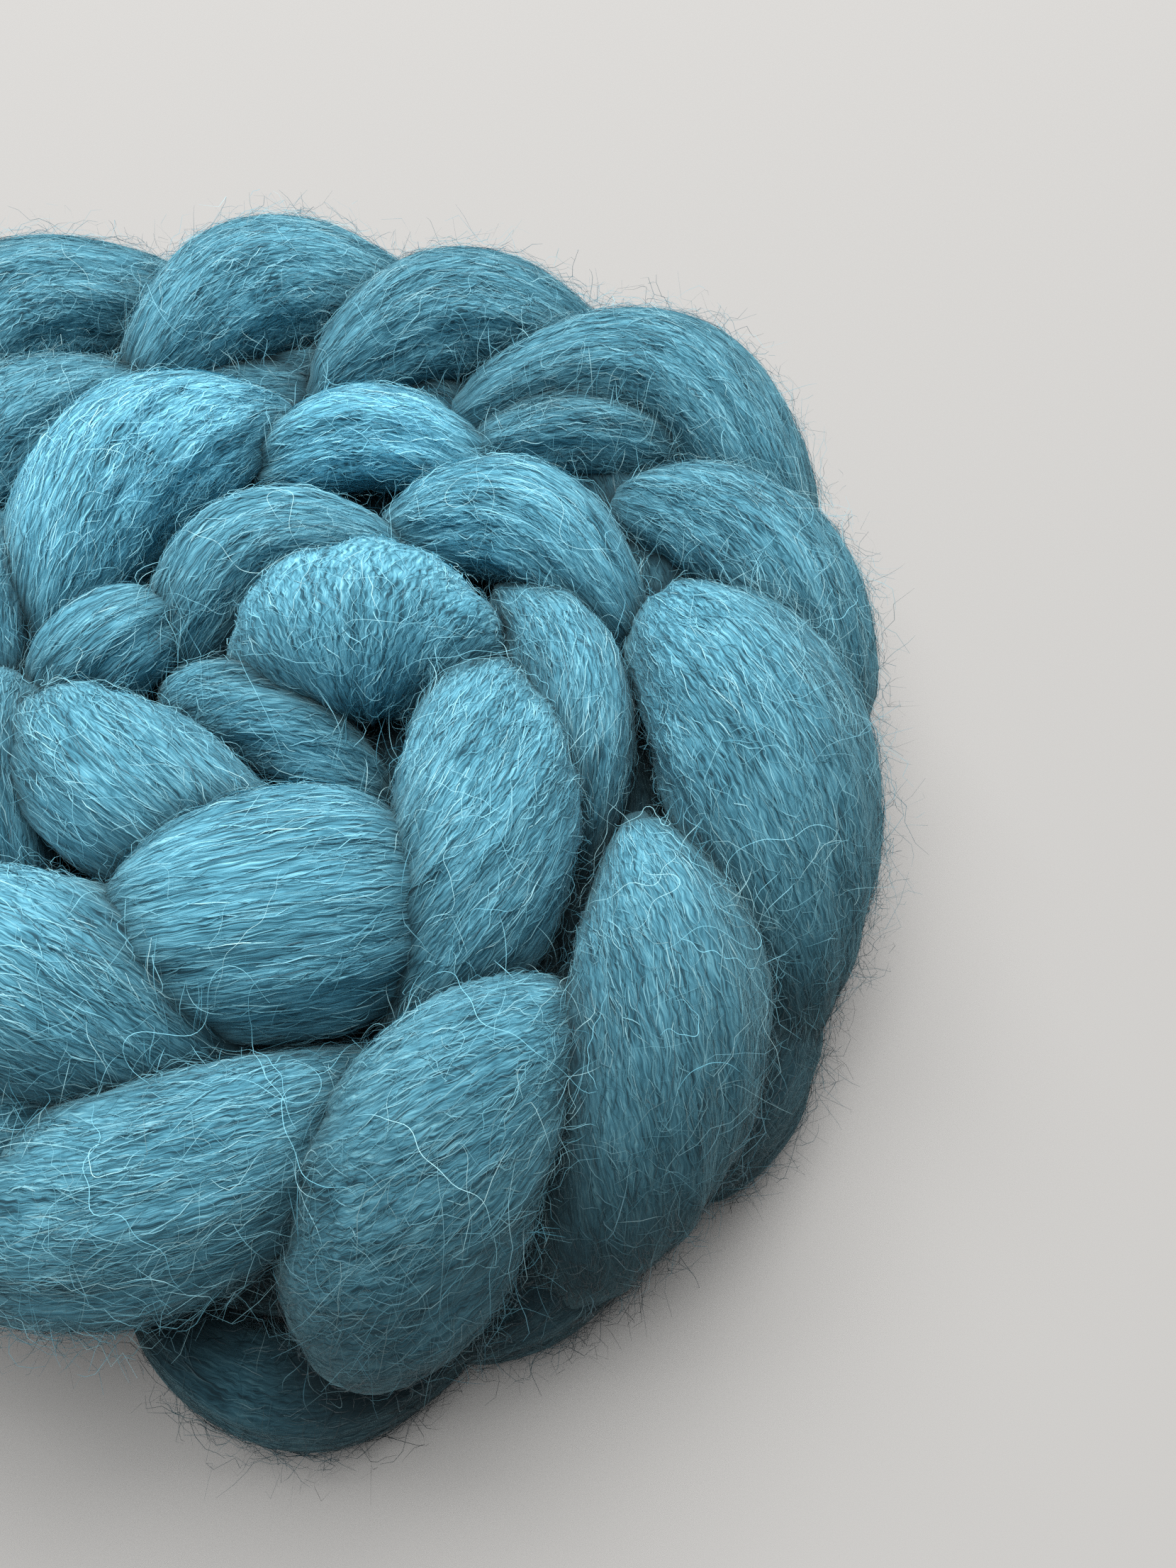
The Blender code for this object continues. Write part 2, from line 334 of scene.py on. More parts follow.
def streaks(across, along, fineness, stretch, detail=2.0, shift=0.0):
    """Noise drawn out along the fibres: so many streaks a mm, each so many mm long."""
    place = start.node("ShaderNodeCombineXYZ", None, {
        "X": across * fineness, "Y": along * (1 / stretch), "Z": shift})
    return start.node("ShaderNodeTexNoise", {"noise_dimensions": "3D"}, {
        "Vector": place, "Scale": 1.0, "Detail": detail, "Roughness": 0.6})


def with_painted_shade(start, colour):
    """A colour with painted shade, darker in creases, low down and on the outer flanks."""
    openness = start.node("ShaderNodeAttribute", {"attribute_name": "openness"}, None, "Fac")
    return start.node("ShaderNodeMix", {"data_type": "RGBA", "clamp_factor": False}, {
        "Factor": openness, 6: PAINTED_SHADE_COLOUR, 7: colour}, 2)


lock_sway = streaks(
    across_fibres, along_fibres, fineness=0.30, stretch=14.0, detail=1.0, shift=4.0)
crimp = start.maths("SINE", along_fibres * (2 * math.pi / CRIMP_WAVE) + lock_sway * CRIMP_SHIFT)
wavy = across_fibres + crimp * CRIMP_DEPTH + lock_sway * LOCK_SWAY
fine_streaks = streaks(wavy, along_fibres, fineness=2.4, stretch=4.2)
hair_streaks = streaks(wavy, along_fibres, fineness=4.4, stretch=3.0, shift=9.0)
locks = streaks(wavy, along_fibres, fineness=0.55, stretch=22.0, shift=17.0)
blotches = streaks(
    across_fibres, along_fibres, fineness=0.07, stretch=16.0, detail=1.0, shift=31.0)
tone = fine_streaks * 0.62 + hair_streaks * 0.34 + locks * 0.24 + blotches * 0.12 - 0.16
shade = start.node("ShaderNodeValToRGB", {"stops": WOOL_SHADES}, {0: tone})
# painted shade: the skin's colour is darkened in creases, low down and on the outer flanks
shaded = with_painted_shade(start, shade)
relief = fine_streaks * 0.5 + hair_streaks * 0.3 + locks * 0.9
bump = start.node("ShaderNodeBump", None, {
    "Strength": 0.85, "Distance": 0.0009, "Height": relief})
combed_wool.node_tree.links.new(shaded.socket, skin.inputs["Base Color"])
combed_wool.node_tree.links.new(bump.socket, skin.inputs["Normal"])
skin.inputs["Roughness"].default_value = 0.85
skin.inputs["Specular IOR Level"].default_value = 0.25
skin.inputs["Sheen Weight"].default_value = 0.3
skin.inputs["Sheen Roughness"].default_value = 0.45
skin.inputs["Sheen Tint"].default_value = (0.40, 0.76, 0.86, 1)


def keep_as_wool(piece, material):
    """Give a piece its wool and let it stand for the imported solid."""
    piece.data.materials.append(material)
    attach(piece, "root")
    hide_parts("roving")


fold_pieces = []


def lay_folds(name, folds, fineness=1.0):
    """Lay folds as one piece of combed wool, and remember how it was made."""
    piece = fold_piece(name, folds, fineness)
    keep_as_wool(piece, combed_wool)
    fold_pieces.append((piece, len(folds), fineness))


for number, fold in enumerate(UPPER_FOLDS, start=1):
    lay_folds(f"fold_{number:02d}", [fold])

# ---------------------------------------------------------------------------
# The folds of the underside.  The back of the chain lies in flatter folds that
# show past the edge of the upper face and carry it, with loose wool packed
# between the turns.  Their lowest wool is pressed flat by the coil's weight.
# ---------------------------------------------------------------------------
EDGE_FOLDS = (
    Fold(93, 2, 16, 86, -50, 16, 3, 14.0, 14.5, 0.50, 0.45, 0.45, -22, 4),
    Fold(88, -40, 15, 71, -82, 13, 3, 12.5, 13.0, 0.50, 0.45, 0.45, -22, 4),
    Fold(66, -80, 13, 34, -103, 11, 1, 11.5, 12.0, 0.50, 0.50, 0.50, -15, 10),
    Fold(34, -88, 12, -12, -86, 12, 3, 13.0, 12.0, 0.50, 0.50, 0.50, -10, 8),
    Fold(38, -104, 10, -10, -101, 10, 9.5, 7.5, 8.4, 0.50, 0.35, 0.55, -10, 12),
)
Ring = namedtuple("Ring", "reach folds first_deg last_deg girth height slant")
LOWER_RINGS = (
    Ring(91, 12, 199, 438, 16.5, 14.5, 6),
    Ring(84, 5, 88, 184, 14.0, 12.5, 3),
    Ring(61, 10, 0, 324, 16.5, 14.5, 7),
    Ring(27, 5, 20, 308, 16.5, 14.5, 5),
    Ring(78, 5, -44, 64, 13.0, 25.0, -5),
)
RING_OVERLAP = 1.5   # length of a ring fold, as a share of the step to the next
RING_END_RISE = 2.0  # ends of the under folds sit this much above their middles
RING_SHAPE = (0.5, 0.5, 0.45)  # full, tip_in and tip_out of every ring fold
RING_LAY = (-16, 12)
RING_FINENESS = 0.6  # ring folds are made with this share of the points


def ring_folds(ring):
    """The folds of one ring, each slanting outward as it goes clockwise."""
    step = math.radians(ring.last_deg - ring.first_deg) / (ring.folds - 1)
    half_sweep = step * RING_OVERLAP / 2
    near, far = ring.reach - ring.slant, ring.reach + ring.slant / 2
    bow = ring.reach * (1 - math.cos(half_sweep))
    ends = ring.height + RING_END_RISE
    for number in range(ring.folds):
        middle = math.radians(ring.first_deg) + number * step
        first, last = middle - half_sweep, middle + half_sweep
        yield Fold(
            near * math.sin(first), near * math.cos(first), ends,
            far * math.sin(last), far * math.cos(last), ends,
            bow, ring.height, ring.girth, *RING_SHAPE, *RING_LAY)


for number, fold in enumerate(EDGE_FOLDS, start=1):
    lay_folds(f"edge_fold_{number}", [fold])
UNDER_FOLDS = EDGE_FOLDS
for number, ring in enumerate(LOWER_RINGS, start=1):
    folds = tuple(ring_folds(ring))
    lay_folds(f"under_ring_{number}", folds, RING_FINENESS)
    UNDER_FOLDS += folds

# ---------------------------------------------------------------------------
# The creases, in painted shade.  Where one fold lies against the next or under a taller
# one, low down where the coil curves under and on its outer flanks, little light gets
# between the loose fibres, and this shade is painted into the wool's colour.
# ---------------------------------------------------------------------------
ALL_FOLDS = np.array(UPPER_FOLDS + UNDER_FOLDS, dtype=float)
BALLS_A_FOLD = 17      # each fold is measured as a row of balls
PLACES_AT_ONCE = 4000  # places measured in one go, to save memory
FAR_AWAY = 99          # stands for a fold's distance from itself, in mm
ball_shares = np.linspace(0, 1, BALLS_A_FOLD)[None, :].repeat(len(ALL_FOLDS), axis=0)
ball_middles, ball_sizes = strand_axis(ALL_FOLDS, ball_shares)
ball_owners = np.arange(len(ALL_FOLDS)).repeat(BALLS_A_FOLD)
ball_middles = ball_middles.reshape(-1, 3)
ball_sizes = ball_sizes.ravel()


def clearance(places, owners):
    """How far places are from the skin of any fold but their own, in mm."""
    nearest = np.empty(len(places))
    for first in range(0, len(places), PLACES_AT_ONCE):
        part = slice(first, first + PLACES_AT_ONCE)
        gap = -ball_sizes[None].repeat(len(places[part]), axis=0)
        gap += np.sqrt(sum(
            (places[part, None, axis] - ball_middles[None, :, axis]) ** 2 for axis in range(3)))
        gap[owners[part, None] == ball_owners[None]] = FAR_AWAY
        nearest[part] = gap.min(axis=1)
    return nearest


SKYWARD = np.array((0.0, 0.08, 0.997))  # the side the wool is open to
SKY_STEPS = (2.0, 5.0, 9.0, 14.0)       # how far out the gaps are measured, in mm
SKY_SPREAD = 0.75       # room a place needs at each step, as a share of the step
GAP_ROUNDING = 0.3      # how much lighter half open wool is than an even fade
CREASE_REACH = 9.0      # wool this near another fold is shaded, in mm
CREASE_SHADE = 0.62
CREASE_FALL = 1.4
SHADED_HEIGHT = 40.0    # the wool is shaded below this, in mm
LOWEST_SHADE = 0.22
HEIGHT_FALL = 1.15
FLANK_FROM = 55.0       # the coil's flanks are shaded from this far out, in mm
FLANK_TO = 80.0
FLANK_SHADE = 0.45
OUTER_PAINTED_SHADE = 0.12      # painted shade that makes the outer folds look deeper
# How light the wool is at the two ends of a fold: the usual, and by number the folds
# made deeper with painted shade or lighter with painted light, partly also by their dye.
USUAL_DYE_AND_PAINTED_SHADE = (0.86, 0.86)
FOLD_DYE_AND_PAINTED_SHADE = {
    2: (1.05, 0.95), 6: (1.12, 0.45), 7: (1.04, 0.0), 8: (1.16, 0.15), 9: (0.84, 0.72),
    15: (1.20, 1.20), 16: (1.30, 1.30), 17: (1.0, 1.0), 20: (0.86, 0.95), 28: (0.94, 0.94),
    32: (0.38, 0.48), 33: (0.46, 0.34), 34: (0.40, 0.34), 35: (0.34, 0.34), 36: (0.44, 0.50),
}


def openness_at(places, outs, owners, shares):
    """Painted shade factor, from 0 under other folds to about 1 on open wool."""
    gap = np.ones(len(places))
    for step in SKY_STEPS:
        room = clearance(places + SKYWARD * step, owners) / (step * SKY_SPREAD)
        gap = np.minimum(gap, room)
    # painted shade in the creases between folds
    near = 1 - (clearance(places, owners) / CREASE_REACH).clip(0, 1)
    gap = gap.clip(0, 1) * (1 - CREASE_SHADE * near**CREASE_FALL)
    # painted shade low down
    high = (places[:, 2] / SHADED_HEIGHT).clip(0, 1)
    height = LOWEST_SHADE + (1 - LOWEST_SHADE) * high**HEIGHT_FALL
    # painted shade on the coil's outer flanks, and more on the outer folds
    away = np.linalg.norm(places[:, :2], axis=1)
    flank = (outs[:, :2] * places[:, :2]).sum(axis=1).clip(0, None) / away
    outer = ((away - FLANK_FROM) / (FLANK_TO - FLANK_FROM)).clip(0, 1)
    flank = (1 - FLANK_SHADE * flank * outer) * (1 - OUTER_PAINTED_SHADE * outer)
    # each fold's tone: partly its dye, partly painted shade or painted light
    tones = np.array([FOLD_DYE_AND_PAINTED_SHADE.get(owner + 1, USUAL_DYE_AND_PAINTED_SHADE) for owner in owners])
    tone = tones[:, 0] + (tones[:, 1] - tones[:, 0]) * shares
    return gap * (1 + GAP_ROUNDING - GAP_ROUNDING * gap) * height * flank * tone


CHART_SHARES = 25  # openness is worked out on this grid over each fold
CHART_BEARINGS = 37
chart_share, chart_bearing = np.meshgrid(
    np.linspace(0, 1, CHART_SHARES), np.linspace(-np.pi, np.pi, CHART_BEARINGS), indexing="ij")
openness_charts = []
for number, fold in enumerate(ALL_FOLDS):
    place, out = skin_place(fold[None], chart_share.reshape(1, -1), chart_bearing.reshape(1, -1))
    open_here = openness_at(
        place[0], out[0], np.full(chart_share.size, number), chart_share.ravel())
    openness_charts.append(open_here.reshape(chart_share.shape))
openness_charts = np.stack(openness_charts)


def openness_of(fold, share, bearing):
    """Openness of places on folds, read between the points of their charts."""
    row = share.clip(0, 1) * (CHART_SHARES - 1)
    column = ((bearing + np.pi) % (2 * np.pi)) / (2 * np.pi) * (CHART_BEARINGS - 1)
    row_from = np.minimum(row.astype(int), CHART_SHARES - 2)
    column_from = np.minimum(column.astype(int), CHART_BEARINGS - 2)
    down, over = row - row_from, column - column_from
    near = openness_charts[fold, row_from, column_from] * (1 - over)
    near += openness_charts[fold, row_from, column_from + 1] * over
    far = openness_charts[fold, row_from + 1, column_from] * (1 - over)
    far += openness_charts[fold, row_from + 1, column_from + 1] * over
    return near * (1 - down) + far * down


def mark_openness(piece, values):
    """Keep the openness of each corner point with the mesh, for the painted shade of its material.
    """
    layer = piece.data.attributes.new("openness", "FLOAT", "POINT")
    layer.data.foreach_set("value", np.asarray(values, dtype=np.float32).ravel())


# painted shade: every fold piece gets the openness that darkens its colour
first_fold = 0
for piece, folds_here, fineness in fold_pieces:
    share, bearing = np.meshgrid(*skin_grid(fineness), indexing="ij")
    numbers = np.arange(first_fold, first_fold + folds_here).repeat(share.size)
    mark_openness(piece, openness_of(
        numbers, np.tile(share.ravel(), folds_here), np.tile(bearing.ravel(), folds_here)))
    first_fold += folds_here

# ---------------------------------------------------------------------------
# The combed fibres of the skin.  Long crimped wool fibres lie side by side the
# way the comb left them, each showing for a few millimetres before it dips
# under the next, and are held only by their own crimp.
# ---------------------------------------------------------------------------
rng = np.random.default_rng(20)
POOL_PLACES = 190000  # places tried for the fibres to start from
DEEPEST_PLACE = -0.6  # none is kept deeper inside another fold than this, in mm
LOWEST_PLACE = 0.8    # and none lower than this above the floor


def open_places(count):
    """Open places spread evenly over the wool: fold, share and bearing."""
    weight = plan_length(ALL_FOLDS) * ALL_FOLDS[:, GIRTH]
    fold = rng.choice(len(ALL_FOLDS), size=count, p=weight / weight.sum())
    share = rng.uniform(0.02, 0.98, count)
    bearing = rng.uniform(-ABOVE, ABOVE, count)
    _, half = strand_axis(ALL_FOLDS[fold], share[:, None])
    thick = half[:, 0] / ALL_FOLDS[fold, GIRTH]
    kept = rng.uniform(0, 1, count) < thick
    fold, share, bearing = fold[kept], share[kept], bearing[kept]
    place, _ = skin_place(ALL_FOLDS[fold], share[:, None], bearing[:, None])
    clear = clearance(place[:, 0], fold) > DEEPEST_PLACE
    clear &= place[:, 0, 2] > LOWEST_PLACE
    return fold[clear], share[clear], bearing[clear]


DRIFT = 0.10              # how far patches of fibre turn from the combed way, in radians
DRIFT_PATCH = (2.9, 6.5)  # scale of the patches across and along the fibres, in mm
ROOT_DEPTH = 0.2          # a fibre starts this far inside the wool, in mm
CURL = 0.9                # how far fibres past a tip reach over its rounded end


def fibre_lines(fold, share, bearing, length, points, stray, crimp_size, waves, lift, wander,
                free):
    """Paths of fibres over the folds, the way out of the wool there and its openness, for painted
    shade.
    """
    rows = ALL_FOLDS[fold]
    fold_length = plan_length(rows)
    girth = rows[:, GIRTH]
    turn = rows[:, LAY_OUT] - rows[:, LAY_IN]
    across, along = laid_out(rows, share[:, None], bearing[:, None])
    drift = DRIFT * np.sin(across[:, 0] / DRIFT_PATCH[0] + rows[:, X0])
    drift *= np.sin(along[:, 0] / DRIFT_PATCH[1] + rows[:, Y0])
    step = length / (points - 1)
    shares, bearings = [share], [bearing]
    for _ in range(points - 1):
        lay = np.radians(rows[:, LAY_IN] + turn * shares[-1]) + stray + drift
        shares.append(shares[-1] + np.cos(lay) * step / fold_length)
        bearings.append(bearings[-1] + np.sin(lay) * step / girth)
    share = np.stack(shares, axis=1)
    bearing = np.stack(bearings, axis=1)
    run = np.linspace(0, 1, points)[None, :]
    travelled = run * length[:, None]
    lay = np.radians(rows[:, LAY_IN, None] + turn[:, None] * share) + stray[:, None]
    wave = rng.uniform(*waves, (len(fold), 1))
    phase = rng.uniform(0, 2 * np.pi, (len(fold), 1))
    sway = crimp_size[:, None] * np.sin(2 * np.pi * travelled / wave + phase)
    turns = rng.uniform(0.4, 1.1, (len(fold), 1))
    sway += wander[:, None] * np.sin(2 * np.pi * run * turns + 1.7 * phase)
    share = share - np.sin(lay) * sway / fold_length[:, None]
    bearing = bearing + np.cos(lay) * sway / girth[:, None]
    # fibres that run past a tip curl in over its rounded end
    past = np.maximum(-share, share - 1).clip(0)
    curled = CURL * END_CAP * (1 - np.exp(-past / END_CAP))
    share = share.clip(0, 1) + np.where(share < 0.5, -curled, curled)
    shape = run**1.3 if free else np.sin(np.pi * run) ** 0.7
    nod = 0.25 * np.sin(2 * np.pi * travelled / wave + phase + 1.6)
    rise = -ROOT_DEPTH + (lift[:, None] + ROOT_DEPTH) * shape * (1 + nod)
    place, out = skin_place(rows, share, bearing, rise)
    return place, out, openness_of(fold[:, None], share, bearing)


FIBRE_TIP = 0.05   # bare ends of a fibre's cell in the map, as shares of it
FIBRE_EDGE = 0.15  # and its bare sides
FIBRE_CELL = 4     # the cells are this many times as tall as they are wide


def ribbon_piece(name, place, out, opened, width, tone, roll_deg):
    """Fibres as narrow ribbons, all in one mesh, each with its own tone."""
    count, points = place.shape[:2]
    run = unit(np.gradient(place, axis=1))
    side = unit(np.cross(run, out))
    roll = np.radians(rng.uniform(-roll_deg, roll_deg, (count, 1, 1)))
    side = np.cos(roll) * side + np.sin(roll) * np.cross(side, run)
    along = np.linspace(FIBRE_TIP, 1 - FIBRE_TIP, points)
    taper = np.sin(np.pi * along) ** 0.5
    offset = side * (width[:, None] / 2 * taper)[..., None]
    corners = np.stack((place - offset, place + offset), axis=2)
    corners[..., 2] = np.maximum(corners[..., 2], FLOOR_LEVEL)
    first = (np.arange(count)[:, None] * points + np.arange(points - 1)[None]).ravel() * 2
    faces = np.stack((first, first + 1, first + 3, first + 2), axis=1)
    cells = math.ceil(math.sqrt(count / FIBRE_CELL))
    row, column = np.divmod(np.arange(count), cells * FIBRE_CELL)
    edges = np.array((FIBRE_EDGE, 1 - FIBRE_EDGE))
    bake_x = (column[:, None, None] + edges[None, None]) / (cells * FIBRE_CELL)
    bake_y = (row[:, None, None] + along[None, :, None]) / cells
    bake = np.stack(np.broadcast_arrays(bake_x, bake_y), axis=-1).reshape(-1, 2)
    own_tone = np.broadcast_to(tone[:, None, None], (count, points, 2))
    own_run = np.broadcast_to(along[None, :, None], (count, points, 2))
    own = np.stack((own_tone, own_run), axis=-1).reshape(-1, 2)
    piece = mesh_piece(
        name, corners.reshape(-1, 3), faces.tolist(), {"OFBake": bake, "fibre": own})
    keep_as_wool(piece, single_fibres)
    # painted shade: each fibre keeps the openness of the wool under it, which darkens its colour
    mark_openness(piece, opened.ravel().repeat(2))


FIBRE_SHADES = (
    (0.00, (0.028, 0.120, 0.170, 1)),
    (0.35, (0.130, 0.440, 0.580, 1)),
    (0.75, (0.300, 0.730, 0.880, 1)),
    (1.00, (0.560, 0.920, 0.980, 1)),
)
single_fibres, fibre, start = new_material("single_fibres")
own_map = start.node("ShaderNodeUVMap", {"uv_map": "fibre"})
own_tone = start.node("ShaderNodeSeparateXYZ", None, {0: own_map}, "X")
own_run = start.node("ShaderNodeSeparateXYZ", None, {0: own_map}, "Y")
ends = start.maths("POWER", start.maths("ABSOLUTE", own_run * 2 - 1), 3.0)
patchy = streaks(own_tone * 40, own_run * 3, fineness=1.0, stretch=1.0, shift=3.0)
colour_at = own_tone - ends * 0.22 + patchy * 0.3 - 0.15
fibre_colour = start.node("ShaderNodeValToRGB", {"stops": FIBRE_SHADES}, {0: colour_at})
# painted shade: the fibres' colour is darkened the same way as the skin beneath them
shaded = with_painted_shade(start, fibre_colour)
single_fibres.node_tree.links.new(shaded.socket, fibre.inputs["Base Color"])
fibre.inputs["Roughness"].default_value = 0.55
fibre.inputs["Specular IOR Level"].default_value = 0.35
fibre.inputs["Sheen Weight"].default_value = 0.1
fibre.inputs["Sheen Roughness"].default_value = 0.4

RIM_FROM = 74.0            # the outer folds start this far from the coil's middle, in mm
WIDTH_SPREAD = (0.7, 1.3)  # fibres are this many times as wide as the usual
pool = open_places(POOL_PLACES)
pool_place, pool_out = (part[:, 0] for part in skin_place(
    ALL_FOLDS[pool[0]], pool[1][:, None], pool[2][:, None]))
# how far each place faces outward from the coil's middle, 0 for inner folds
pool_outward = (pool_out[:, :2] * unit(pool_place[:, :2])).sum(axis=1)
pool_outward *= np.linalg.norm(pool_place[:, :2], axis=1) > RIM_FROM


def comb_over(name, first_fold, last_fold, count, points, reach, spread_deg, crimp_size, waves,
              lift, width, tones, roll_deg, bias=1.0, wander=0.3, free=False, rim=-1.0):
    """Lay so many fibres over a run of folds, along the way they are combed."""
    # a bias above 1 keeps most of them low, free ones stand up at one end, and
    # rim leaves out the places that face outward less than this
    fold, share, bearing = pool
    chosen = np.flatnonzero((fold >= first_fold) & (fold < last_fold) & (pool_outward > rim))
    chosen = rng.choice(chosen, size=count)
    fold, share, bearing = fold[chosen], share[chosen], bearing[chosen]
    length = rng.uniform(*reach, count)
    rows = ALL_FOLDS[fold]
    lay = np.radians((rows[:, LAY_IN] + rows[:, LAY_OUT]) / 2)
    back = length * rng.uniform(0.1, 0.9, count)
    if not free:
        share = share - np.cos(lay) * back / plan_length(rows)
        bearing = bearing - np.sin(lay) * back / rows[:, GIRTH]
    stray = np.radians(rng.normal(0, spread_deg, count))
    if free:
        stray += np.pi * rng.integers(0, 2, count)
    place, out, opened = fibre_lines(
        fold, share, bearing, length, points, stray,
        crimp_size * rng.uniform(0.3, 1.4, count), waves,
        lift[0] + (lift[1] - lift[0]) * rng.uniform(0, 1, count) ** bias,
        wander * rng.normal(0, 1, count), free)
    tone = rng.uniform(*tones, count)
    widths = width * rng.uniform(*WIDTH_SPREAD, count)
    ribbon_piece(name, place, out, opened, widths, tone, roll_deg)


SECOND_FROM = len(OUTER_ROW)
UNDER_FROM = len(UPPER_FOLDS)
# reach, crimp_size, waves, lift and width are in millimetres
COMBED = dict(points=6, reach=(3.0, 8.0), spread_deg=16, crimp_size=0.16, waves=(2.6, 4.8),
              lift=(0.0, 0.6), width=0.125, tones=(0.0, 0.9), roll_deg=45)
comb_over("fibres_outer_row", 0, SECOND_FROM, 17000, **COMBED)
comb_over("fibres_inner_rows", SECOND_FROM, UNDER_FROM, 17500, **COMBED)
comb_over("fibres_under", UNDER_FROM, len(ALL_FOLDS), 7500, **COMBED)
FUZZ = dict(points=9, reach=(4, 11), spread_deg=50, crimp_size=0.28, waves=(3.5, 7),
            lift=(0.3, 2.6), width=0.065, tones=(0.15, 0.9), roll_deg=80, bias=1.6, wander=1.3)
comb_over("fuzz_upper", 0, UNDER_FROM, 6500, **FUZZ)
comb_over("fuzz_under", UNDER_FROM, len(ALL_FOLDS), 1800, **FUZZ)
HALO = dict(points=8, reach=(4, 10), spread_deg=75, crimp_size=0.3, waves=(3, 6),
            lift=(0.6, 5.5), width=0.065, tones=(0.4, 1.0), roll_deg=90, bias=2.0, wander=1.6,
            free=True)
comb_over("halo", 0, len(ALL_FOLDS), 2200, **HALO)
RIM_HALO = dict(HALO, lift=(0.6, 7.5), bias=1.7, reach=(4, 12), rim=0.25)
comb_over("rim_halo", 0, len(ALL_FOLDS), 9400, **RIM_HALO)

# ---------------------------------------------------------------------------
# Loose fibres between the folds.  Where two folds touch, some fibres belong to
# both and are drawn across the crease, and a few long hairs have worked free
# and lie over the folds wherever they were left.
# ---------------------------------------------------------------------------
BRIDGES = 3400
BRIDGE_TRIES = 60000
CREASE_OPENNESS = 0.8      # wool less open than this is taken to be near a crease
PATCH = 6.0                # side of the patches the two ends are looked for in, in mm
PATCH_PLACES = 60
PATCH_ROW = 1000           # the patches are numbered row by row, with room to spare
BRIDGE_SPAN = (3.5, 13.0)  # distance between the two ends, in millimetres
LEAST_FACING = -0.3        # cosine of the widest angle between the ways the ends face
BRIDGE_POINTS = 8
BRIDGE_ARCH = (0.05, 0.25)  # height of the arch, as a share of the span
BRIDGE_SWAY = 0.10          # how far the fibre bends sideways, as a share of the span
BRIDGE_LIFT = 0.2           # how far the ends are lifted off the skin, in mm
BRIDGE_WIDTH = 0.08
BRIDGE_LIGHT = 0.25         # painted light: the middle of the arch gets this much less painted shade
fold, share, bearing = pool
near_crease = np.flatnonzero(openness_of(fold, share, bearing) < CREASE_OPENNESS)
# neighbours in the pool, taken in patches of the coil a few millimetres across
patch = np.floor(pool_place[near_crease] / PATCH) @ (PATCH_ROW, 1, 0)
near_crease = near_crease[np.argsort(patch, kind="stable")]
tries = rng.integers(0, len(near_crease), BRIDGE_TRIES)
mates = (tries + rng.integers(1, PATCH_PLACES, BRIDGE_TRIES)) % len(near_crease)
tries, mates = near_crease[tries], near_crease[mates]
span = np.linalg.norm(pool_place[tries] - pool_place[mates], axis=1)
suited = (fold[tries] != fold[mates]) & (span > BRIDGE_SPAN[0]) & (span < BRIDGE_SPAN[1])
suited &= (pool_out[tries] * pool_out[mates]).sum(axis=1) > LEAST_FACING
chosen = rng.choice(np.flatnonzero(suited), size=BRIDGES, replace=False)
one, other = tries[chosen], mates[chosen]
span = span[chosen, None, None]
run = np.linspace(0, 1, BRIDGE_POINTS)[None, :, None]
rise = unit(pool_out[one] + pool_out[other] + 0.3 * UP)[:, None]
straight = pool_place[one][:, None] * (1 - run) + pool_place[other][:, None] * run
arch = rng.uniform(*BRIDGE_ARCH, (BRIDGES, 1, 1)) * span
across = unit(np.cross(pool_place[other] - pool_place[one], rise[:, 0]))[:, None]
sway = rng.normal(0, BRIDGE_SWAY, (BRIDGES, 1, 1)) * span
bow = np.sin(np.pi * run)
path = straight + rise * (arch * bow + BRIDGE_LIFT) + across * sway * np.sin(
    np.pi * run * rng.uniform(0.8, 2.2, (BRIDGES, 1, 1)))
# painted shade: the bridging fibres take the painted shade of the creases at their ends
opened = openness_of(fold[one], share[one], bearing[one])[:, None] * (1 - run[..., 0])
opened = opened + openness_of(fold[other], share[other], bearing[other])[:, None] * run[..., 0]
opened = (opened + BRIDGE_LIGHT * bow[..., 0]).clip(0, 1)
widths = BRIDGE_WIDTH * rng.uniform(*WIDTH_SPREAD, BRIDGES)
tones = rng.uniform(0.3, 1.0, BRIDGES)
ribbon_piece(
    "bridging_fibres", path, np.broadcast_to(rise, path.shape), opened, widths, tones, 60)

STRAY_HAIRS = 120
STRAY_TRIES = 400    # only routes that stay over the coil are kept
STRAY_START = 30.0   # the hairs start on wool above this, in millimetres
LOWEST_STRAY = 22.0  # and never lie over wool lower than this
STRAY_POINTS = 36
STRAY_LENGTH = (12.0, 38.0)
# bends in the length of one hair, and how sharply they turn it, in radians
STRAY_BENDS = ((0.6, 1.1), (1.7, 0.55), (4.5, 0.35))
SMOOTHING = 7  # points over which a stray hair spans the hollows below it


def height_at(x, y):
    """Height of the top of the wool over places in plan, in mm."""
    away = (x[..., None] - ball_middles[:, 0]) ** 2 + (y[..., None] - ball_middles[:, 1]) ** 2
    inside = ball_sizes**2 - away
    top = np.where(inside > 0, ball_middles[:, 2] + np.sqrt(np.maximum(inside, 0)), FLOOR_LEVEL)
    return top.max(axis=-1)


def stray_hairs(name, x, y, lift, width, tones):
    """Long hairs lying over the folds along routes in plan."""
    count, points = x.shape
    top = height_at(x, y)
    padded = np.pad(top, ((0, 0), (SMOOTHING // 2, SMOOTHING // 2)), mode="edge")
    spanned = np.stack([padded[:, k:k + points] for k in range(SMOOTHING)]).mean(axis=0)
    z = np.maximum(top, spanned) + lift
    path = np.stack((x, y, z), axis=-1)
    widths = width * rng.uniform(0.8, 1.2, count)
    ribbon_piece(
        name, path, np.broadcast_to(UP, path.shape), np.ones((count, points)), widths,
        rng.uniform(*tones, count), 30)


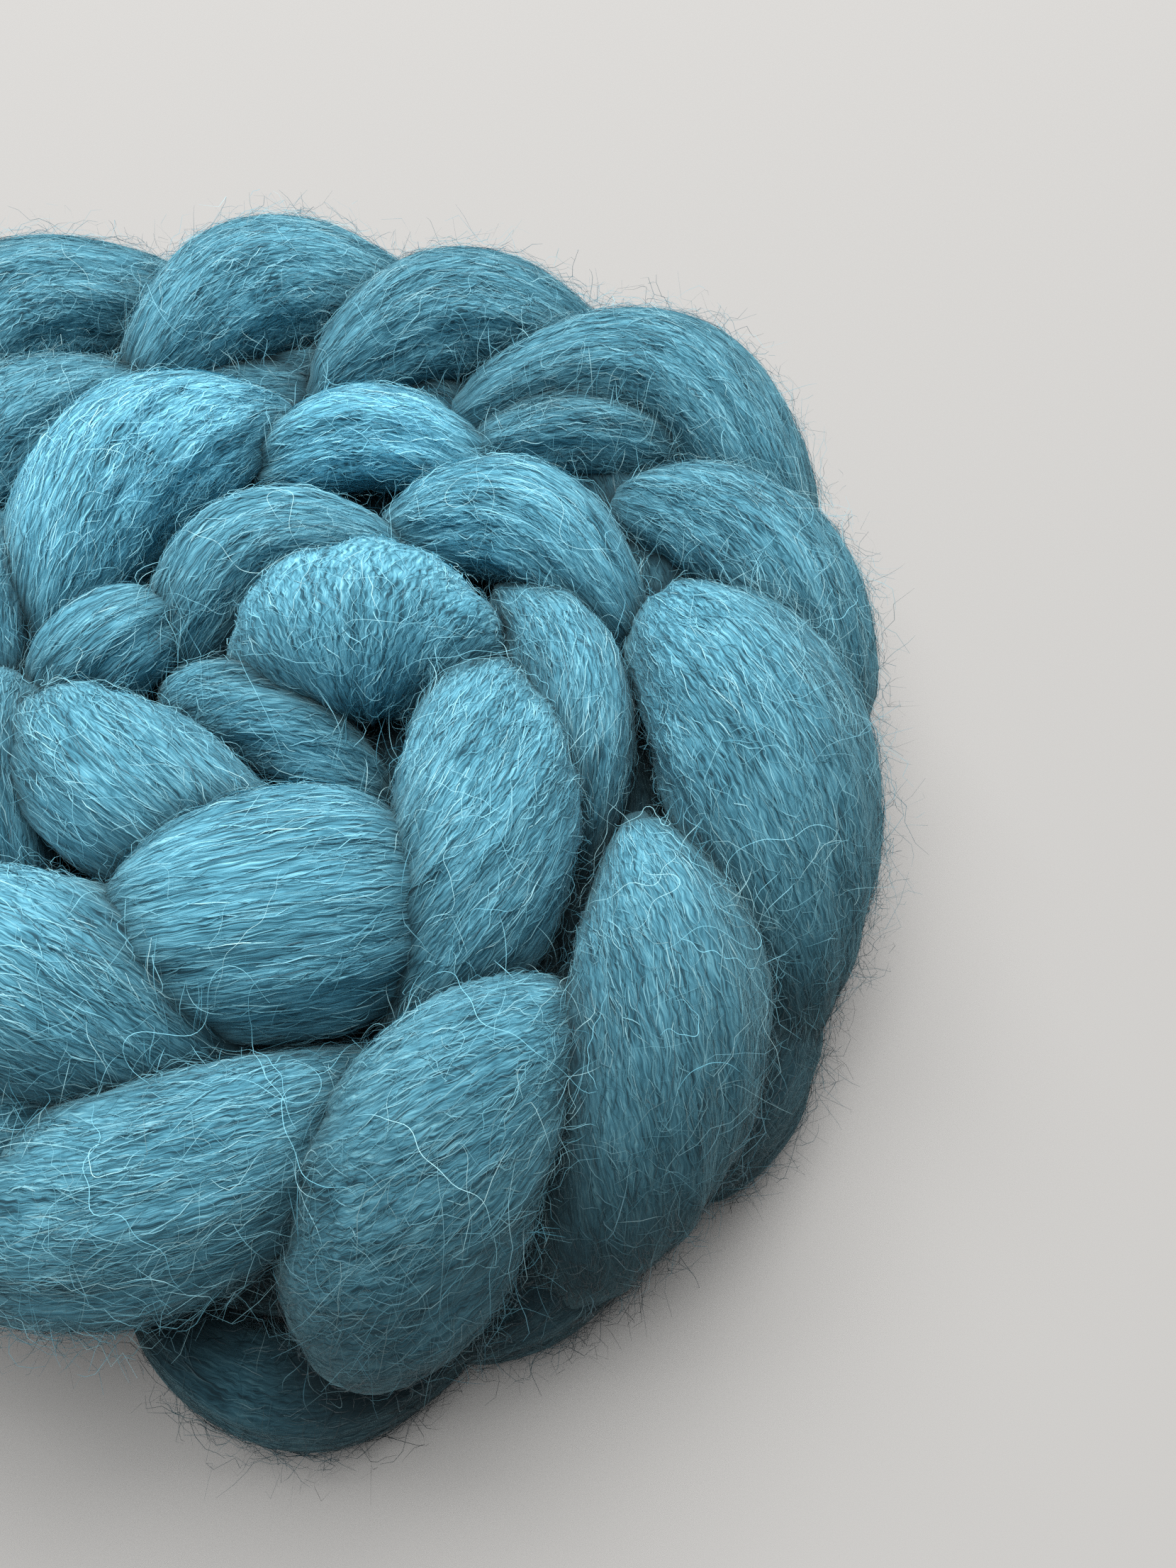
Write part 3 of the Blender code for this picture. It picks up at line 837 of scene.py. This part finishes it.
high_wool = (fold < UNDER_FROM) & (pool_place[:, 2] > STRAY_START)
first = rng.choice(np.flatnonzero(high_wool), size=STRAY_TRIES)
length = rng.uniform(*STRAY_LENGTH, (STRAY_TRIES, 1))
run = np.linspace(0, 1, STRAY_POINTS)[None]
heading = rng.uniform(0, 2 * np.pi, (STRAY_TRIES, 1))
for waves, turn in STRAY_BENDS:
    phase = rng.uniform(0, 2 * np.pi, (STRAY_TRIES, 1))
    heading = heading + rng.normal(0, turn, (STRAY_TRIES, 1)) * np.sin(
        2 * np.pi * waves * run + phase)
step = length / (STRAY_POINTS - 1)
stray_x = pool_place[first, 0, None] + np.cumsum(np.cos(heading) * step, axis=1)
stray_y = pool_place[first, 1, None] + np.cumsum(np.sin(heading) * step, axis=1)
kept = np.flatnonzero(height_at(stray_x, stray_y).min(axis=1) > LOWEST_STRAY)[:STRAY_HAIRS]
stray_hairs(
    "stray_hairs", stray_x[kept], stray_y[kept], lift=0.9, width=0.07, tones=(0.5, 1.0))

# ---------------------------------------------------------------------------
# The pale floor, the light and the camera.  The coil lies on a plain pale table
# and is seen from its near side, close and from well above, in soft daylight
# that comes mostly from the far side.
# ---------------------------------------------------------------------------
floor_mesh = bpy.data.meshes.new("floor")
floor_mesh.from_pydata([(-3, -3, 0), (3, -3, 0), (3, 3, 0), (-3, 3, 0)], [], [(0, 1, 2, 3)])
floor = bpy.data.objects.new("floor", floor_mesh)
bpy.context.scene.collection.objects.link(floor)
pale_floor, floor_shader, _ = new_material("pale_floor")
floor_shader.inputs["Base Color"].default_value = (0.38, 0.372, 0.362, 1)
floor_shader.inputs["Roughness"].default_value = 0.9
floor_mesh.materials.append(pale_floor)

world = bpy.data.worlds.new("studio")
world.use_nodes = True
backdrop = world.node_tree.nodes["Background"]
backdrop.inputs["Color"].default_value = (0.90, 0.96, 1.0, 1)
backdrop.inputs["Strength"].default_value = 0.19
bpy.context.scene.world = world


def soft_light(name, place, wide, high, power, colour):
    """A large soft light aimed at the coil."""
    lamp = bpy.data.lights.new(name, "AREA")
    lamp.shape = "RECTANGLE"
    lamp.size = wide
    lamp.size_y = high
    lamp.energy = power
    lamp.color = colour
    holder = bpy.data.objects.new(name, lamp)
    holder.location = place
    holder.rotation_euler = (-Vector(place)).to_track_quat("-Z", "Y").to_euler()
    bpy.context.scene.collection.objects.link(holder)


DAYLIGHT = (1.0, 0.995, 0.985)
soft_light("window", (-0.10, 1.55, 2.05), 3.2, 1.6, 94.0, DAYLIGHT)
soft_light("ceiling", (-0.15, 0.10, 2.20), 1.6, 1.4, 36.0, DAYLIGHT)

view = bpy.data.cameras.new("view")
view.sensor_width = 36
view.lens = 27.03
view.clip_start = 0.01
camera = bpy.data.objects.new("view", view)
camera.location = (0.05823, -0.11588, 0.21034)
camera.rotation_euler = (math.radians(29), 0, 0)
bpy.context.scene.collection.objects.link(camera)
bpy.context.scene.camera = camera
bpy.context.scene.view_settings.view_transform = "Standard"
bpy.context.scene.cycles.use_denoising = False
